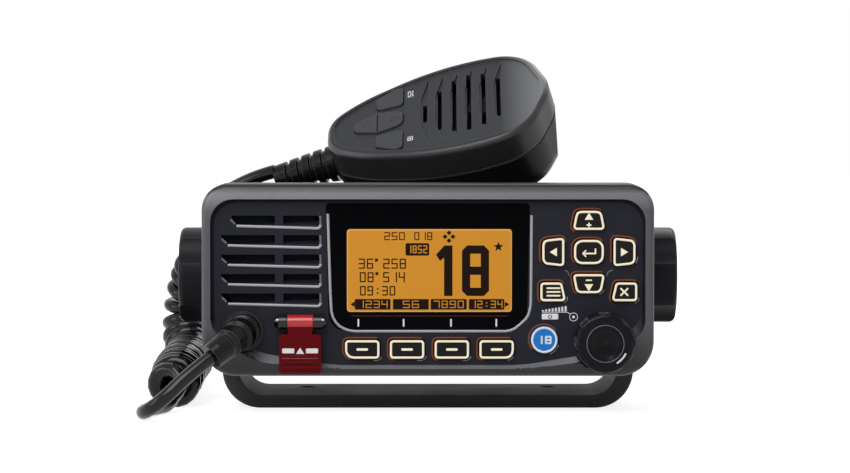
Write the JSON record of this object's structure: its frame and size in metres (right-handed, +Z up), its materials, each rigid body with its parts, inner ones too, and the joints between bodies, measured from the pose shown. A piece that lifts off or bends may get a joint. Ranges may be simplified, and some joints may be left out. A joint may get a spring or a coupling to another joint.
{
  "type": "vhf marine radio",
  "caption": "Fixed-mount marine radio: keypad, backlit display, volume knob and lidded distress key on the front, a tilting bracket, and a hand microphone on a curly cord.",
  "frame": {"origin": "on the mounting surface, at the middle of the bracket's foot plate, straight under the tilt axis", "axes": "+Z up, +X to the right as seen from the front, the front panel looks along -Y and the connectors along +Y"},
  "size_m": [0.1933, 0.1823, 0.125],
  "materials": {
    "panel_plastic": "satin",
    "window": "polished",
    "display": "backlit",
    "key_plastic": "satin",
    "blue_plastic": "satin",
    "red_plastic": "polished",
    "knob_plastic": "polished",
    "black_rubber": "matt",
    "silicone": "matt",
    "cast_black": "powder coat",
    "bracket_plastic": "fine grain",
    "steel": "satin",
    "brass": "machined",
    "nickel": "plated",
    "circuit_board": "lacquered",
    "component": "matt",
    "mesh": "woven",
    "ribbon": "matt",
    "cord_jacket": "satin",
    "mic_plastic": "fine grain"
  },
  "bodies": {
    "radio": {"front_panel": "panel_plastic", "display_window": "window", "lcd_module": "display", "speaker_mesh": "mesh", "speaker": "component", "keypad_mat": "silicone", "control_board": "circuit_board", "encoder_body": "steel", "distress_hinge_pin": "knob_plastic", "chassis": "cast_black", "side_inserts": "brass", "panel_gasket": "black_rubber", "chassis_screws": "steel", "main_board": "circuit_board", "power_amplifier": "component", "shield_can": "steel", "position_receiver": "component", "ribbon_cable": "ribbon", "antenna_socket": "nickel", "power_lead_gland": "black_rubber", "friction_washers": "black_rubber", "mic_lead_boot": "black_rubber", "cord_lead_panel": "cord_jacket", "cord_coil": "cord_jacket", "cord_coil_hanging": "cord_jacket", "cord_lead_mic": "cord_jacket"},
    "bracket": {"mounting_bracket": "bracket_plastic"},
    "left_knob": {"bracket_knob_left": "bracket_plastic", "knob_bolt_left": "steel"},
    "right_knob": {"bracket_knob_right": "bracket_plastic", "knob_bolt_right": "steel"},
    "cover": {"distress_cover": "red_plastic"},
    "volume_shaft": {"encoder_shaft": "steel"},
    "volume": {"volume_knob": "knob_plastic"},
    "microphone": {"mic_front_shell": "mic_plastic", "mic_rear_shell": "mic_plastic", "mic_seam_gasket": "black_rubber", "mic_board": "circuit_board", "mic_element": "component", "mic_shell_screws": "steel", "mic_hanger_button": "mic_plastic", "mic_boot": "black_rubber"},
    "talk_bar": {"mic_ptt_button": "mic_plastic"},
    "key_up_cap": {"key_up": "key_plastic"},
    "key_down_cap": {"key_down": "key_plastic"},
    "key_left_cap": {"key_left": "key_plastic"},
    "key_right_cap": {"key_right": "key_plastic"},
    "key_enter_cap": {"key_enter": "key_plastic"},
    "key_menu_cap": {"key_menu": "key_plastic"},
    "key_clear_cap": {"key_clear": "key_plastic"},
    "key_16_cap": {"key_16": "blue_plastic"},
    "softkey_1_cap": {"softkey_1": "key_plastic"},
    "softkey_2_cap": {"softkey_2": "key_plastic"},
    "softkey_3_cap": {"softkey_3": "key_plastic"},
    "softkey_4_cap": {"softkey_4": "key_plastic"},
    "distress_key_cap": {"distress_key": "red_plastic"},
    "mic_key_16_cap": {"mic_key_16": "key_plastic"},
    "mic_key_high_low_cap": {"mic_key_high_low": "key_plastic"},
    "mic_key_up_cap": {"mic_key_up": "key_plastic"},
    "mic_key_down_cap": {"mic_key_down": "key_plastic"}
  },
  "joints": [
    {"name": "bracket_tilt", "type": "hinge", "parent": "radio", "child": "bracket", "pos_m": [0, 0, 0.046], "axis": [1, 0, 0], "range_deg": [-8, 24]},
    {"name": "left_knob_turn", "type": "hinge", "parent": "bracket", "child": "left_knob", "pos_m": [-0.08, 0, 0.046], "axis": [1, 0, 0], "continuous": true},
    {"name": "right_knob_turn", "type": "hinge", "parent": "bracket", "child": "right_knob", "pos_m": [0.08, 0, 0.046], "axis": [1, 0, 0], "continuous": true},
    {"name": "key_up_press", "type": "slide", "parent": "radio", "child": "key_up_cap", "axis": [0, 1, 0], "range_m": [0, 0.0008], "stiffness_N_per_m": 2500, "springref_m": -0.0003},
    {"name": "key_down_press", "type": "slide", "parent": "radio", "child": "key_down_cap", "axis": [0, 1, 0], "range_m": [0, 0.0008], "stiffness_N_per_m": 2500, "springref_m": -0.0003},
    {"name": "key_left_press", "type": "slide", "parent": "radio", "child": "key_left_cap", "axis": [0, 1, 0], "range_m": [0, 0.0008], "stiffness_N_per_m": 2500, "springref_m": -0.0003},
    {"name": "key_right_press", "type": "slide", "parent": "radio", "child": "key_right_cap", "axis": [0, 1, 0], "range_m": [0, 0.0008], "stiffness_N_per_m": 2500, "springref_m": -0.0003},
    {"name": "key_enter_press", "type": "slide", "parent": "radio", "child": "key_enter_cap", "axis": [0, 1, 0], "range_m": [0, 0.0008], "stiffness_N_per_m": 2500, "springref_m": -0.0003},
    {"name": "key_menu_press", "type": "slide", "parent": "radio", "child": "key_menu_cap", "axis": [0, 1, 0], "range_m": [0, 0.0008], "stiffness_N_per_m": 2500, "springref_m": -0.0003},
    {"name": "key_clear_press", "type": "slide", "parent": "radio", "child": "key_clear_cap", "axis": [0, 1, 0], "range_m": [0, 0.0008], "stiffness_N_per_m": 2500, "springref_m": -0.0003},
    {"name": "key_16_press", "type": "slide", "parent": "radio", "child": "key_16_cap", "axis": [0, 1, 0], "range_m": [0, 0.0008], "stiffness_N_per_m": 2500, "springref_m": -0.0003},
    {"name": "softkey_1_press", "type": "slide", "parent": "radio", "child": "softkey_1_cap", "axis": [0, 1, 0], "range_m": [0, 0.0008], "stiffness_N_per_m": 2500, "springref_m": -0.0003},
    {"name": "softkey_2_press", "type": "slide", "parent": "radio", "child": "softkey_2_cap", "axis": [0, 1, 0], "range_m": [0, 0.0008], "stiffness_N_per_m": 2500, "springref_m": -0.0003},
    {"name": "softkey_3_press", "type": "slide", "parent": "radio", "child": "softkey_3_cap", "axis": [0, 1, 0], "range_m": [0, 0.0008], "stiffness_N_per_m": 2500, "springref_m": -0.0003},
    {"name": "softkey_4_press", "type": "slide", "parent": "radio", "child": "softkey_4_cap", "axis": [0, 1, 0], "range_m": [0, 0.0008], "stiffness_N_per_m": 2500, "springref_m": -0.0003},
    {"name": "distress_key_press", "type": "slide", "parent": "radio", "child": "distress_key_cap", "axis": [0, 1, 0], "range_m": [0, 0.0008], "stiffness_N_per_m": 2500, "springref_m": -0.0003},
    {"name": "cover_swing", "type": "hinge", "parent": "radio", "child": "cover", "pos_m": [-0.0441, -0.0502, 0.0324], "axis": [-1, 0, 0], "range_deg": [0, 120], "stiffness_Nm_per_rad": 0.01, "springref_deg": -22.92},
    {"name": "volume_push", "type": "slide", "parent": "radio", "child": "volume_shaft", "axis": [0, 1, 0], "range_m": [0, 0.0008], "stiffness_N_per_m": 3500, "springref_m": -0.0003},
    {"name": "volume_turn", "type": "hinge", "parent": "volume_shaft", "child": "volume", "pos_m": [0.06075, -0.055, 0.0257], "axis": [0, 1, 0], "continuous": true},
    {"name": "mic_lift", "type": "slide", "parent": "radio", "child": "microphone", "axis": [0, 0, 1], "range_m": [0, 0.06], "deforming": ["cord_coil_hanging", "cord_lead_mic"]},
    {"name": "talk_bar_press", "type": "slide", "parent": "microphone", "child": "talk_bar", "axis": [-0.0011, -0.8385, -0.5449], "range_m": [0, 0.0015], "stiffness_N_per_m": 1500, "springref_m": -0.0006},
    {"name": "mic_key_16_press", "type": "slide", "parent": "microphone", "child": "mic_key_16_cap", "axis": [0.2689, 0.5246, -0.8078], "range_m": [0, 0.0007], "stiffness_N_per_m": 2500, "springref_m": -0.0003},
    {"name": "mic_key_high_low_press", "type": "slide", "parent": "microphone", "child": "mic_key_high_low_cap", "axis": [0.2689, 0.5246, -0.8078], "range_m": [0, 0.0007], "stiffness_N_per_m": 2500, "springref_m": -0.0003},
    {"name": "mic_key_up_press", "type": "slide", "parent": "microphone", "child": "mic_key_up_cap", "axis": [0.2689, 0.5246, -0.8078], "range_m": [0, 0.0007], "stiffness_N_per_m": 2500, "springref_m": -0.0003},
    {"name": "mic_key_down_press", "type": "slide", "parent": "microphone", "child": "mic_key_down_cap", "axis": [0.2689, 0.5246, -0.8078], "range_m": [0, 0.0007], "stiffness_N_per_m": 2500, "springref_m": -0.0003}
  ]
}
